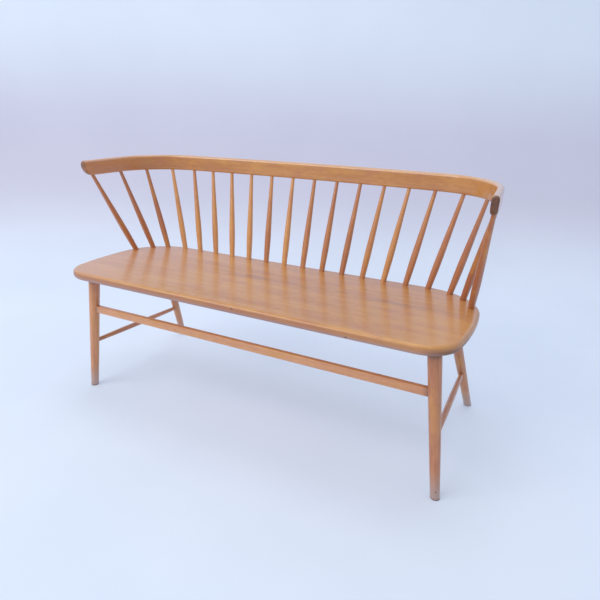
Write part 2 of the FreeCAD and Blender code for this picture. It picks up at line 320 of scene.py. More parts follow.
def smooth_run(knots, steps):
    """Points (place, value) on a smooth line through the knots."""
    points = []
    for i in range(len(knots) - 1):
        before, low, high = knots[max(i - 1, 0)], knots[i], knots[i + 1]
        after = knots[min(i + 2, len(knots) - 1)]
        low_slope = (high[1] - before[1]) / max(high[0] - before[0], tiny)
        high_slope = (after[1] - low[1]) / max(after[0] - low[0], tiny)
        width = high[0] - low[0]
        for step in range(steps):
            t = step / steps
            value = (2 * t ** 3 - 3 * t ** 2 + 1) * low[1]
            value += (t ** 3 - 2 * t ** 2 + t) * width * low_slope
            value += (-2 * t ** 3 + 3 * t ** 2) * high[1]
            value += (t ** 3 - t ** 2) * width * high_slope
            points.append((low[0] + t * width, value))
    points.append(knots[-1])
    return points


def turned(name, start, end, profile, sides, painted_shade_at, turn=0.0, level_cuts=(None, None), level_foot=()):
    """A turned piece. The profile gives (distance from start, radius) along its axis.

    The level cuts stop its low and high ends at a height. A piece that stands on the floor has a
    level foot, given as (height, radius) rings below the profile; other ends are hidden in sockets.
    """
    way = (end - start).normalized()
    u, v = square_to(way)
    low_cut, high_cut = level_cuts
    rings = []
    grain = []
    painted_shade_and_end_dark = []

    def add_ring(distance, radius, level=None):
        ring = []
        values = []
        for j in range(sides):
            angle = turn + 2 * math.pi * j / sides
            a, b = math.cos(angle) * radius, math.sin(angle) * radius
            point = start + way * distance + u * a + v * b
            stop = level
            if low_cut is not None and point.z < low_cut:
                stop = low_cut
            if high_cut is not None and point.z > high_cut:
                stop = high_cut
            shift = 0.0 if stop is None else (stop - point.z) / way.z
            ring.append(point + way * shift)
            values.append((a, b, distance + shift))
        rings.append(ring)
        grain.append(values)
        painted_shade_and_end_dark.append(painted_shade_at(distance))

    for height, radius in level_foot:
        add_ring((height - start.z) / way.z, radius, height)
    for distance, radius in profile:
        add_ring(distance, radius)
    # a hidden end lends no end grain to the wood that shows beside it
    ways = [way] * len(rings)
    ways[-1] = Vector()
    if not level_foot:
        ways[0] = Vector()
    return lofted(name, rings, grain, ways, painted_shade_and_end_dark)


def place(point, z):
    return Vector((point.x, point.y + front_y, z))


def mirror_x(vector):
    return Vector((-vector.x, vector.y, vector.z))


def sharpen(obj, angle):
    """Keeps edges crisp where faces meet at more than the angle."""
    bm = bmesh.new()
    bm.from_mesh(obj.data)
    for edge in bm.edges:
        if len(edge.link_faces) == 2 and edge.calc_face_angle(0.0) > angle:
            edge.smooth = False
    bm.to_mesh(obj.data)
    bm.free()


pieces = []


def add(obj, slot_name, *nodes):
    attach(obj, "root")
    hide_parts(*nodes)
    pieces.append((obj, slot_name))


# Seat: rings of the outline drawn in from the edge, over the rounded arrises

def seat_piece():
    profile = [(seat_under_rounding + seat_flat_rim, 0.0)]
    for i in range(seat_arris_steps + 1):
        angle = math.pi / 2 * i / seat_arris_steps
        inset = seat_under_rounding * (1 - math.sin(angle))
        rise = seat_under_rounding * (1 - math.cos(angle))
        profile.append((inset, rise))
    for i in range(seat_arris_steps + 1):
        angle = math.pi / 2 * i / seat_arris_steps
        inset = seat_top_rounding * (1 - math.cos(angle))
        rise = seat_thickness - seat_top_rounding * (1 - math.sin(angle))
        profile.append((inset, rise))
    profile.append((seat_top_rounding + seat_flat_rim, seat_thickness))
    outline = seat_outline(0)
    total = whole_length(outline)
    rings = []
    for inset, rise in profile:
        ring = []
        for i in range(seat_outline_steps + 1):
            point, outward = along(outline, total * i / seat_outline_steps)
            ring.append(place(point - outward * inset, seat_top - seat_thickness + rise))
        left = [mirror_x(point) for point in ring[1:-1]][::-1]
        rings.append(ring + left)
    grain = [[(point.y - front_y, point.z - seat_top, point.x) for point in ring] for ring in rings]
    return lofted("seat", rings, grain, [Vector((1, 0, 0))] * len(rings), [0.0] * len(rings))


add(seat_piece(), "seat_wood", *["seat_board_%d" % (i + 1) for i in range(seat_boards)])


# Bent rail: sections across its middle line

def rail_section(y, low_off, high_off, width_cut):
    """Points round the section as (outward, height), less what the rounded end takes off."""
    low = rail_underside_at(y) + low_off
    high = rail_top_at(y) - high_off
    half = rail_thickness / 2 - width_cut
    points = []
    corners = (
        (half, low, rail_under_rounding, -math.pi / 2),
        (half, high, rail_top_rounding, 0.0),
        (-half, high, rail_top_rounding, math.pi / 2),
        (-half, low, rail_under_rounding, math.pi),
    )
    for corner_out, corner_z, radius, start in corners:
        radius = min(radius, half * rail_fullest_rounding, (high - low) / 2 * rail_fullest_rounding)
        centre_out = corner_out - math.copysign(radius, corner_out)
        centre_z = corner_z + (radius if corner_z == low else -radius)
        for i in range(rail_rounding_steps + 1):
            angle = start + math.pi / 2 * i / rail_rounding_steps
            points.append((centre_out + math.cos(angle) * radius, centre_z + math.sin(angle) * radius))
    return points


def end_rounding(y):
    """How much the rounded end takes off the underside and the top at y."""
    ahead = y - rail_end_from_front

    def off(radius):
        if ahead >= radius:
            return 0.0
        return radius - math.sqrt(max(radius ** 2 - (radius - ahead) ** 2, 0.0))

    return off(rail_end_lower_radius), off(rail_end_upper_radius)


def slope_shift(dy, height, y):
    """Keeps the section's top and underside in their sloping planes where the rail crosses Y."""
    low, high = rail_underside_at(y), rail_top_at(y)
    share = min(max((height - low) / (high - low), 0.0), 1.0)
    return dy * (rail_underside_fall * (1 - share) + rail_top_fall * share)


def rail_piece():
    line = rail_line()
    total = whole_length(line)
    stations = [(total - rail_end_zone) * i / rail_steps for i in range(rail_steps + 1)]
    for i in range(1, rail_end_steps + 1):
        turn = math.pi / 2 * (i / rail_end_steps)
        stations.append(total - rail_end_zone * (1 - math.sin(turn)))
    rings = []
    grain = []
    ways = []
    painted_shade_and_end_dark = []
    for distance in stations:
        remaining = total - distance
        painted_shade_and_end_dark.append(rail_end_darkening * max(0.0, 1 - remaining / rail_end_darkening_reach))
        width_cut = 0.0
        if remaining < rail_end_easing:
            t = (rail_end_easing - remaining) / rail_end_easing
            width_cut = rail_end_easing * (1 - math.sqrt(max(1 - t * t, 0.0)))
        # a fixed section in an upright plane; its ends follow the side view's rounded shape
        point, outward = along(line, distance)
        low_off, high_off = end_rounding(point.y)
        ring = []
        values = []
        for out, height in rail_section(point.y, low_off, high_off, width_cut):
            off_line = point + outward * out
            ring.append(place(off_line, height + slope_shift(off_line.y - point.y, height, point.y)))
            values.append((out, height - rail_top_at(point.y), distance))
        rings.append(ring)
        grain.append(values)
        ways.append(Vector((outward.y, -outward.x, 0)))
    left = [[mirror_x(point) for point in ring] for ring in rings[1:]][::-1]
    left_grain = [[(a, b, -c) for a, b, c in ring] for ring in grain[1:]][::-1]
    left_ways = [mirror_x(way) for way in ways[1:]][::-1]
    return lofted("rail", left + rings, left_grain + grain, left_ways + ways, painted_shade_and_end_dark[:0:-1] + painted_shade_and_end_dark)


add(rail_piece(), "rail_wood", "top_rail")


# Spindles

def spindle_lines():
    """Foot and head of each spindle of the right-hand half, from the middle outwards."""
    seat_track = seat_outline(spindle_foot_inset)
    rail_track = rail_line()
    lines = []
    for foot_share, head_share in zip(spindle_foot_shares, spindle_head_shares):
        foot, _ = along(seat_track, foot_share * whole_length(seat_track))
        head, _ = along(rail_track, head_share * whole_length(rail_track))
        lines.append((place(foot, seat_top), place(head, rail_underside_at(head.y))))
    return lines


def lean_of(way):
    """How far a piece drifts sideways for each metre that it rises."""
    return math.hypot(way.x, way.y) / way.z


def joint_shade(distance, reach):
    """Painted shade that fades away from a joint."""
    return math.exp(-max(distance, 0.0) / reach)


def spindle_profile(length, lean):
    """Both ends run on far enough to be stopped level in their sockets."""
    knots = []
    for share, radius in spindle_radii:
        distance = min(max(share * length, spindle_straight_end), length - spindle_straight_end)
        knots.append((distance, radius))
    foot_radius, head_radius = knots[0][1], knots[-1][1]
    low_end = -(foot_radius * lean + spindle_spare)
    high_end = length + (head_radius * lean + spindle_spare)
    return [(low_end, foot_radius)] + smooth_run(knots, spindle_steps) + [(high_end, head_radius)]


def spindle_piece(name, start, end, turn):
    length = (end - start).length
    profile = spindle_profile(length, lean_of((end - start) / length))

    def painted_shade_at(distance):
        # painted shade where the spindle meets the seat and the rail
        spindle_foot_shade = joint_shade(distance, spindle_joint_shade_reach)
        return spindle_joint_shade * (spindle_foot_shade + joint_shade(length - distance, spindle_joint_shade_reach))

    level_cuts = (seat_top - spindle_hidden_end, end.z + spindle_hidden_end)
    return turned(name, start, end, profile, spindle_sides, painted_shade_at, turn, level_cuts)


turn_rng = random.Random(7)
per_half = len(spindle_foot_shares)
for from_middle, (foot, head) in enumerate(spindle_lines()):
    for number, left in ((per_half - from_middle, True), (per_half + 1 + from_middle, False)):
        start, end = (mirror_x(foot), mirror_x(head)) if left else (foot, head)
        obj = spindle_piece("turned_spindle_%02d" % number, start, end, turn_rng.uniform(0, full_turn))
        add(obj, "spindle_wood", "spindle_%02d" % number)


# Legs and stretchers

def leg_piece(name, foot, top):
    """The foot stands level on the floor, and the top runs on into the seat and stops level there."""
    length = (top - foot).length
    taper_end = length - leg_straight_length
    lean = lean_of((top - foot) / length)

    def radius_at(distance):
        if distance >= taper_end:
            return leg_radius
        return leg_foot_radius + (leg_radius - leg_foot_radius) * distance / taper_end

    def painted_shade_at(distance):
        # painted shadow of the seat over the top of the leg, and painted contact shade at the foot
        seat_shadow = joint_shade(length - distance - leg_shadowed_top, leg_top_shadow_reach)
        return leg_top_painted_shadow * seat_shadow + leg_foot_painted_shade * joint_shade(distance, leg_foot_shade_reach)

    distances = list(leg_foot_rings)
    distances += [taper_end * share for share in leg_taper_shares]
    distances += [taper_end + leg_straight_length * share for share in leg_top_shares]
    distances.append(length + leg_radius * lean + leg_spare)
    profile = [(distance, radius_at(distance)) for distance in distances]
    level_cuts = (None, seat_top - seat_thickness + leg_hidden_top)
    level_foot = ((0.0, leg_foot_radius - leg_foot_easing), (leg_foot_easing, leg_foot_radius))
    return turned(name, foot, top, profile, leg_sides, painted_shade_at, 0.0, level_cuts, level_foot)


def level_on(ends, level):
    """The place on a leg's axis at a height."""
    low, high = ends
    return low + (high - low) * ((level - low.z) / (high.z - low.z))


def side_bar(name, start, end):
    """A round bar, straight at its ends and slightly swelled between them."""
    length = (end - start).length
    run = length - 2 * side_stretcher_straight
    swell = side_stretcher_radius - side_stretcher_end_radius
    bow = (run * run / 4 + swell * swell) / (2 * swell)
    profile = [(0.0, side_stretcher_end_radius)]
    for i in range(side_bar_steps + 1):
        off_middle = run * (i / side_bar_steps - 0.5)
        sag = bow - math.sqrt(bow * bow - off_middle * off_middle)
        profile.append((side_stretcher_straight + run * i / side_bar_steps, side_stretcher_radius - sag))
    profile.append((length, side_stretcher_end_radius))
    hidden = leg_radius * side_bar_hidden_share

    def painted_shade_at(distance):
        # painted shade where the bar meets the legs
        near_front = joint_shade(distance - hidden, bar_joint_shade_reach)
        return near_front + joint_shade(length - hidden - distance, bar_joint_shade_reach)

    return turned(name, start, end, profile, side_bar_sides, painted_shade_at)


def front_bar():
    """A flat bar between the front legs' axes, with eased corners."""
    end = level_on(leg_ends["front"], front_stretcher_level)
    half_length = end.x
    easing = front_stretcher_easing
    flat_y = front_stretcher_thickness / 2 - easing
    flat_z = front_stretcher_height / 2 - easing
    section = []
    corners = ((1, -1, -math.pi / 2), (1, 1, 0.0), (-1, 1, math.pi / 2), (-1, -1, math.pi))
    for side_y, side_z, start in corners:
        for i in range(front_bar_easing_steps + 1):
            angle = start + math.pi / 2 * i / front_bar_easing_steps
            section.append((
                side_y * flat_y + math.cos(angle) * easing,
                side_z * flat_z + math.sin(angle) * easing,
            ))
    rings = []
    grain = []
    painted_shade_and_end_dark = []
    for i in range(front_bar_steps + 1):
        x = half_length * (2 * i / front_bar_steps - 1)
        rings.append([Vector((x, end.y + front_y + a, end.z + b)) for a, b in section])
        grain.append([(a, b, x) for a, b in section])
        # painted shade where the bar meets the legs
        painted_shade_and_end_dark.append(front_bar_joint_shade * joint_shade(half_length - leg_radius - abs(x), bar_joint_shade_reach))
    return lofted("front_bar", rings, grain, [Vector((1, 0, 0))] * len(rings), painted_shade_and_end_dark)


def on_side(point, left):
    """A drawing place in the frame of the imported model, on the left or the right."""
    point = point + Vector((0, front_y, 0))
    return mirror_x(point) if left else point


for side_name, left in (("left", True), ("right", False)):
    for end_name in ("front", "rear"):
        foot, top = [on_side(point, left) for point in leg_ends[end_name]]
        obj = leg_piece("%s_%s_leg" % (end_name, side_name), foot, top)
        add(obj, "leg_wood", "leg_%s_%s" % (end_name, side_name))
    front_level, rear_level = side_stretcher_levels
    start = on_side(level_on(leg_ends["front"], front_level), left)
    end = on_side(level_on(leg_ends["rear"], rear_level), left)
    obj = side_bar("side_stretcher_bar_%s" % side_name, start, end)
    add(obj, "stretcher_wood", "side_stretcher_%s" % side_name)

add(front_bar(), "stretcher_wood", "front_stretcher")


# Shader tools

class Socket:
    """A value in a material. Sums and products of values become Math nodes."""

    def __init__(self, tree, link):
        self.tree = tree
        self.link = link

    def _math(self, operation, *others):
        return self.tree.node("ShaderNodeMath", {"operation": operation}, self, *others)[0]

    def __add__(self, other):
        return self._math("ADD", other)

    def __sub__(self, other):
        return self._math("SUBTRACT", other)

    def __mul__(self, other):
        return self._math("MULTIPLY", other)

    def __truediv__(self, other):
        return self._math("DIVIDE", other)

    def __rtruediv__(self, other):
        return self.tree.node("ShaderNodeMath", {"operation": "DIVIDE"}, other, self)[0]

    def __rsub__(self, other):
        return self.tree.node("ShaderNodeMath", {"operation": "SUBTRACT"}, other, self)[0]

    __radd__ = __add__
    __rmul__ = __mul__

    def smaller(self, other):
        return self._math("MINIMUM", other)

    def larger(self, other):
        return self._math("MAXIMUM", other)

    def size(self):
        return self._math("ABSOLUTE")

    def floor(self):
        return self._math("FLOOR")

    def clamped(self):
        return self.larger(0.0).smaller(1.0)

    def ramp(self, low, high, to_low=0.0, to_high=1.0):
        """This value taken smoothly from one range to another, held at the ends."""
        settings = {"interpolation_type": "SMOOTHSTEP"}
        return self.tree.node("ShaderNodeMapRange", settings, self, low, high, to_low, to_high)[0]


class Tree:
    """A material's nodes."""

    def __init__(self, name):
        self.material = bpy.data.materials.new(name)
        self.material.use_nodes = True
        self.nodes = self.material.node_tree.nodes
        self.links = self.material.node_tree.links
        self.nodes.clear()
        self.output = self.nodes.new("ShaderNodeOutputMaterial")

    def node(self, kind, settings, *values, **named):
        """Makes a node, sets it up, and returns its outputs."""
        made = self.nodes.new(kind)
        stops = settings.pop("stops", None)
        for key, value in settings.items():
            setattr(made, key, value)
        if stops:
            elements = made.color_ramp.elements
            while len(elements) < len(stops):
                elements.new(0.5)
            for element, (spot, colour) in zip(elements, stops):
                element.position = spot
                element.color = (*colour, 1.0)
        inputs = [socket for socket in made.inputs if socket.enabled]
        pairs = list(zip(inputs, values))
        for key, value in named.items():
            matches = [socket for socket in inputs if socket.name == key.replace("_", " ")]
            pairs.append((matches[0], value))
        for socket, value in pairs:
            if isinstance(value, Socket):
                self.links.new(value.link, socket)
            elif value is not None:
                socket.default_value = value
        return [Socket(self, out) for out in made.outputs if out.enabled]

    def colour_mix(self, share, first, second):
        settings = {"data_type": "RGBA"}
        return self.node("ShaderNodeMix", settings, share, colour_of(first), colour_of(second))[0]

    def vector(self, operation, *values):
        return self.node("ShaderNodeVectorMath", {"operation": operation}, *values)[0]

    def parts(self, vector):
        return self.node("ShaderNodeSeparateXYZ", {}, vector)

    def joined(self, x, y, z):
        return self.node("ShaderNodeCombineXYZ", {}, x, y, z)[0]

    def noise(self, vector, scale, detail, roughness, twist=0.0):
        return self.node(
            "ShaderNodeTexNoise", {}, Vector=vector, Scale=scale, Detail=detail,
            Roughness=roughness, Distortion=twist,
        )[0]

    def attribute(self, name):
        """A vector stored with the mesh."""
        return self.node("ShaderNodeAttribute", {"attribute_name": name})[1]

    def number(self, name):
        """A number stored with the mesh."""
        return self.node("ShaderNodeAttribute", {"attribute_name": name})[2]


def linear(value):
    """A screen value from 0 to 255 as linear light."""
    value = value / 255
    return value / 12.92 if value <= 0.04045 else ((value + 0.055) / 1.055) ** 2.4


def rgb(red, green, blue):
    return (linear(red), linear(green), linear(blue))


def colour_of(value):
    return value if isinstance(value, Socket) else (*value, 1.0)


# Wood colours

wood_dark = rgb(112, 64, 40)
wood_gold = rgb(208, 146, 72)
wood_rose = rgb(182, 112, 84)
wood_end = rgb(102, 66, 54)
# a dark brown for painted shade at the joints, and for knots
shade_and_knot_brown = rgb(74, 44, 36)
# painted bounce of bluish floor light on the feet
foot_painted_floor_bounce = rgb(176, 164, 164)
# painted highlight on the rail's upper rounding
rail_painted_highlight = rgb(232, 192, 160)
rail_left_rosy = rgb(216, 150, 112)
seat_left_rosy = rgb(212, 158, 124)
seat_right_pale = rgb(226, 168, 112)
seat_streak_brown = rgb(140, 90, 74)
# painted shade on the seat's rounded edge
seat_edge_shade_brown = rgb(160, 104, 84)
# painted reflection of the floor on the seat's lower arris
seat_arris_floor_reflection = rgb(166, 138, 144)
seat_corner_dark = rgb(106, 60, 42)
# Each kind of piece from its pale to its deep wood, and where in the figure the three colours lie
seat_woods = (rgb(212, 154, 86), rgb(197, 135, 68), rgb(181, 117, 57))
rail_woods = (rgb(212, 155, 90), rgb(193, 131, 70), rgb(176, 112, 58))
spindle_woods = (rgb(220, 160, 100), rgb(194, 128, 84), rgb(174, 107, 74))
leg_woods = (rgb(214, 147, 102), rgb(190, 124, 82), rgb(172, 104, 66))
bar_woods = (rgb(232, 174, 128), rgb(216, 154, 108), rgb(200, 136, 92))
wood_stops = (0.70, 0.52, 0.36)

# Layers of the figure: how far the grain draws each one out, then scale, detail, roughness and twist
wood_layers = {
    "figure": (0.045, 26.0, 3.0, 0.55, 0.6),
    "broad": (0.35, 4.5, 2.0, 0.5),
    "fine": (0.02, 240.0, 2.0, 0.6),
    "streaks": (0.04, 95.0, 2.0, 0.55),
    "dashes": (0.25, 150.0, 2.0, 0.6),
    "flecks": (0.10, 620.0, 1.0, 0.5),
    "clouds": (0.55, 21.0, 3.0, 0.6),
}
# How strongly the layers move the wood from deep to pale
figure_share = 0.38
broad_share = 0.50
fine_share = 0.16
streak_share = 0.20
leg_streak_share = 0.42
dash_share = 0.26
paler_by = 0.08
# Golden and rosy clouds and dark flecks: where each begins and is full, and its strength
gold_levels = (0.51, 0.66)
gold_share = 0.46
rose_levels = (0.49, 0.34)
rose_share = 0.36
fleck_levels = (0.60, 0.74)
fleck_share = 0.20
seat_fleck_share = 0.14
# How each seed moves a piece through the wood, and how the seat's boards differ
seed_shift = 1.37
board_shift = 3.1
board_draw = 0.37
board_contrast = 0.10

# Fine pores that the light catches, deepest in the fine lines
pore_strength = 0.25
pore_depth = 0.0006
pore_lines = 0.7
pore_flecks = 0.3

# Clear coats: strength, roughness, and for the seat the roughness of the wood under it
seat_coat = (0.9, 0.20, 0.34)
rail_coat = (1.0, 0.14)
leg_coat = (0.55, 0.20)
plain_coat = (0.7, 0.18)
# How end grain, soiling, fine lines and broad figure change the finish
end_grain_shows = (0.15, 0.45)
end_grain_rays = (0.35, 0.65, 0.75, 1.0)
end_roughness = 0.25
end_coat_loss = 0.8
dulled_coat_loss = 0.5
shade_and_end_dark_share = 0.30
fine_roughness = 0.16
broad_roughness = 0.08
wood_roughness = 0.30

# Legs: the feet are painted greyer up to a level, a painted bounce of bluish light from the floor, and a
# knot sits near the right front foot
leg_floor_bounce_levels = (0.10, 0.0)
leg_floor_bounce_share = 0.65
leg_knot = (0.5776, -0.2313, 0.0260)
leg_knot_fade = (0.0010, 0.0034, 0.75, 0.0)

# Rail: levels from its top, along from its middle
# The paler upper rounding is a painted highlight
rail_highlight_levels = (-0.0066, -0.0045)
rail_highlight_share = 0.40
rail_rosy_along = (-0.52, -0.70)
rail_rosy_share = 0.45
rail_end_grain = (-0.5, 0.5, 0.6, 1.0)

# Seat: along from its middle, across from its front, levels from its top
seat_rosy_along = (-0.15, -0.55)
seat_rosy_share = 0.40
seat_pale_along = (0.44, 0.58)
seat_pale_share = 0.30
seat_streak_across = 0.245
seat_streak_fade = (0.003, 0.024, 1.0, 0.0)
seat_streak_along = (-0.26, -0.10)
seat_streak_drift = 0.03
seat_streak_drift_noise = (5.0, 2.0, 0.6)
seat_streak_patch_noise = (11.0, 3.0, 0.6)
seat_streak_patches = (0.38, 0.60)
seat_streak_share = 0.42
seat_glue_line = (0.4935, 0.4985)
seat_glue_front = (0.02, 0.03)
seat_glue_back = (0.415, 0.425)
seat_glue_share = 0.06
seat_rim_levels = (-0.0240, -0.0228)
# The browner edge band is painted shade
seat_edge_levels = (-0.002, -0.008)
seat_edge_left_to_right = (-0.3, 0.3, 0.70, 0.48)
seat_edge_end_along = (0.550, 0.585)
seat_edge_end_share = 0.32
# The greyer lower arris band is a painted reflection of the floor
seat_arris_levels = (-0.012, -0.018)
seat_arris_share = 0.50
seat_corner_along = (0.49, 0.56)
seat_corner_across = (0.20, 0.10)
seat_corner_levels = (-0.007, -0.015)
seat_corner_share = 0.60
seat_end_grain = 0.12
# Pin knots in the front edge: place along, depth below the top, half length, half height
seat_pin_knots = ((0.031, 0.0084, 0.0034, 0.0026), (0.336, 0.018, 0.0048, 0.0022))
seat_pin_knots_across = (0.006, 0.003)
seat_pin_knots_share = 0.75


def wood_material(name, seed, woods, boards=False, streaky=streak_share, flecked=fleck_share):
    """Lacquered close-grained wood whose grain runs along the third grain coordinate."""
    t = Tree(name)
    across, height, length = t.parts(t.attribute("grain"))
    tone = t.number("tone")
    shift = seed * seed_shift
    if boards:
        board = (across / (seat_depth / seat_boards)).floor()
        settings = {"noise_dimensions": "1D"}
        tint = t.node("ShaderNodeTexWhiteNoise", settings, board + board_draw + seed)[0]
        tone = tone + (tint - 0.5) * board_contrast
        side = across + board * board_shift + shift
    else:
        side = across + shift

    def layer(kind, up=height, onward=None):
        drawn_out, *settings = wood_layers[kind]
        along_grain = length * drawn_out
        if onward is not None:
            along_grain = along_grain + onward
        return t.noise(t.joined(side, up, along_grain), *settings)

    # slow figure, then fine lines, streaks and short dashes along the grain
    figure = layer("figure", height + shift)
    fine = layer("fine")
    flecks = layer("flecks")
    broad = layer("broad")
    streaks = (layer("streaks") - 0.5) * streaky
    lined = (fine - 0.5) * fine_share + streaks + (layer("dashes") - 0.5) * dash_share
    value = figure * figure_share + broad * broad_share + lined + tone + paler_by
    stops = tuple(zip(wood_stops, woods))[::-1]
    colour = t.node("ShaderNodeValToRGB", {"stops": stops}, value)[0]
    colour = t.colour_mix(flecks.ramp(*fleck_levels) * flecked, colour, wood_dark)
    # mottled figure: soft golden and rosy clouds a little longer than wide
    clouds = layer("clouds", onward=shift)
    colour = t.colour_mix(clouds.ramp(*gold_levels) * gold_share, colour, wood_gold)
    colour = t.colour_mix(clouds.ramp(*rose_levels) * rose_share, colour, wood_rose)
    return t, colour, (across, height, length), (fine, flecks, broad)


def finish_wood(
    t, colour, noises, coat, coat_roughness, under_coat=wood_roughness, end_share=1.0, dulled=0.0
):
    """End grain, painted shade at the joints and darkening at the rail's ends, a thin clear coat and
    fine pores.

    Under the coat is the wood's own roughness. The end share says how much the cut ends show, and
    dulled is where the coat is worn.
    """
    fine, flecks, broad = noises
    cut = t.number("cut").ramp(*end_grain_shows) * end_share
    rays = fine.ramp(*end_grain_rays)
    colour = t.colour_mix(cut * rays, colour, wood_end)
    # painted shade at the joints, the leg tops and the feet, and darkening at the rail's ends, mixed
    # into the colour
    colour = t.colour_mix((t.number("painted_shade_and_end_dark") * shade_and_end_dark_share).clamped(), colour, shade_and_knot_brown)
    roughness = fine * fine_roughness + under_coat
    roughness = roughness + (broad - 0.5) * broad_roughness + cut * end_roughness
    coat_left = (1.0 - cut * end_coat_loss) * (coat - dulled * dulled_coat_loss)
    shader = t.nodes.new("ShaderNodeBsdfPrincipled")
    shader.inputs["Specular IOR Level"].default_value = 0.5
    shader.inputs["Coat Roughness"].default_value = coat_roughness
    shader.inputs["Coat IOR"].default_value = 1.5
    t.links.new(coat_left.link, shader.inputs["Coat Weight"])
    t.links.new(colour.link, shader.inputs["Base Color"])
    t.links.new(roughness.link, shader.inputs["Roughness"])
    bump = t.nodes.new("ShaderNodeBump")
    bump.inputs["Strength"].default_value = pore_strength
    bump.inputs["Distance"].default_value = pore_depth
    t.links.new((fine * pore_lines + flecks * pore_flecks).link, bump.inputs["Height"])
    t.links.new(bump.outputs["Normal"], shader.inputs["Normal"])
    t.links.new(shader.outputs[0], t.output.inputs["Surface"])
    return t.material


def plain_material(name, seed, woods):
    t, colour, _, noises = wood_material(name, seed, woods)
    return finish_wood(t, colour, noises, *plain_coat)


def leg_material():
    t, colour, _, noises = wood_material("leg_lacquered_wood", 13.0, leg_woods, streaky=leg_streak_share)
    position = t.node("ShaderNodeNewGeometry", {})[0]
    level = t.parts(position)[2]
    # painted floor bounce: the feet are greyer up to a level, standing in for bluish light from the
    # floor
    colour = t.colour_mix(level.ramp(*leg_floor_bounce_levels) * leg_floor_bounce_share, colour, foot_painted_floor_bounce)
    off_knot = t.vector("LENGTH", t.vector("SUBTRACT", position, leg_knot))
    colour = t.colour_mix(off_knot.ramp(*leg_knot_fade), colour, shade_and_knot_brown)
    return finish_wood(t, colour, noises, *leg_coat)


def rail_material():
    t, colour, parts, noises = wood_material("rail_lacquered_wood", 5.0, rail_woods)
    _, height, length = parts
    # painted highlight: the upper rounding is painted paler, with a clear lower border, standing in for
    # the light reflected there
    colour = t.colour_mix(height.ramp(*rail_highlight_levels) * rail_highlight_share, colour, rail_painted_highlight)
    # the left arm is rosier than the right, and its end paler
    colour = t.colour_mix(length.ramp(*rail_rosy_along) * rail_rosy_share, colour, rail_left_rosy)
    return finish_wood(t, colour, noises, *rail_coat, end_share=length.ramp(*rail_end_grain))


def pin_knot(knot, length, height):
    """A soft oval spot, 1 in the middle and 0 outside."""
    along_seat, below_top, half_length, half_height = knot
    a = (length - along_seat) / half_length
    b = (height + below_top) / half_height
    return (a * a + b * b).ramp(0.25, 1.0, 1.0, 0.0)


def seat_material():
    t, colour, parts, noises = wood_material(
        "seat_lacquered_wood", 1.0, seat_woods, boards=True, flecked=seat_fleck_share
    )
    across, height, length = parts
    # glue lines between the boards
    boards_in = across / (seat_depth / seat_boards)
    line = (boards_in - boards_in.floor() - 0.5).size().ramp(*seat_glue_line)
    inside = across.ramp(*seat_glue_front) * (1.0 - across.ramp(*seat_glue_back))
    colour = t.colour_mix(line * inside * seat_glue_share, colour, wood_dark)
    # a brown mineral streak along the middle of the seat
    drift = t.noise(t.joined(length, 0.0, 3.7), *seat_streak_drift_noise)
    patches = t.noise(t.joined(length, across * 4.0, 8.2), *seat_streak_patch_noise)
    off_line = (across - seat_streak_across + (drift - 0.5) * seat_streak_drift).size()
    streak = off_line.ramp(*seat_streak_fade) * length.ramp(*seat_streak_along)
    streak = streak * patches.ramp(*seat_streak_patches)
    colour = t.colour_mix(streak * seat_streak_share, colour, seat_streak_brown)
    # the left end is rosier, the right end a little paler
    colour = t.colour_mix(length.ramp(*seat_rosy_along) * seat_rosy_share, colour, seat_left_rosy)
    colour = t.colour_mix(length.ramp(*seat_pale_along) * seat_pale_share, colour, seat_right_pale)
    # painted shade: the rounded edge is painted browner, as it gets less light than the top, least so at
    # the right end; the rim leaves the underside as it is
    rim = height.ramp(*seat_rim_levels)
    edge = height.ramp(*seat_edge_levels) * rim
    less_brown = length.ramp(*seat_edge_end_along) * seat_edge_end_share
    brown = length.ramp(*seat_edge_left_to_right) - less_brown
    colour = t.colour_mix(edge * brown, colour, seat_edge_shade_brown)
    # painted reflection: the lower arris is painted as a thin greyer band, standing in for the bluish
    # floor reflected there
    arris = height.ramp(*seat_arris_levels) * rim
    colour = t.colour_mix(arris * seat_arris_share, colour, seat_arris_floor_reflection)
    # the lower edge of the right front corner is darker
    corner = length.ramp(*seat_corner_along) * across.ramp(*seat_corner_across)
    corner = corner * height.ramp(*seat_corner_levels) * rim
    colour = t.colour_mix(corner * seat_corner_share, colour, seat_corner_dark)
    first, second = [pin_knot(knot, length, height) for knot in seat_pin_knots]
    knots = first.larger(second) * across.ramp(*seat_pin_knots_across)
    colour = t.colour_mix(knots * seat_pin_knots_share, colour, shade_and_knot_brown)
    dulled = edge + corner * seat_corner_share
    return finish_wood(t, colour, noises, *seat_coat, end_share=seat_end_grain, dulled=dulled)


# Dressing the pieces: a material, a tone and a place in the wood for each

materials = {
    "seat_wood": seat_material(),
    "rail_wood": rail_material(),
    "spindle_wood": plain_material("spindle_lacquered_wood", 9.0, spindle_woods),
    "leg_wood": leg_material(),
    "stretcher_wood": plain_material("stretcher_lacquered_wood", 17.0, bar_woods),
}
side_bar_wood = plain_material("side_bar_lacquered_wood", 15.0, leg_woods)

piece_tones = {"front_left_leg": 0.14, "front_right_leg": -0.03, "front_bar": -0.02, "rail": 0.01}
spindle_tones = {
    0.10: (4, 5, 6, 7, 8, 10, 14, 15),
    0.0: (2, 3, 9, 11, 12),
    -0.06: (1, 13, 16, 17, 18),
    -0.18: (19, 20),
}
for tone, numbers in spindle_tones.items():
    for number in numbers:
        piece_tones["turned_spindle_%02d" % number] = tone


def move_grain(obj, shift):
    data = obj.data.attributes["grain"].data
    values = np.zeros(len(data) * 3, dtype=np.float32)
    data.foreach_get("vector", values)
    values = values.reshape(-1, 3) + np.array(shift, dtype=np.float32)
    data.foreach_set("vector", values.ravel())


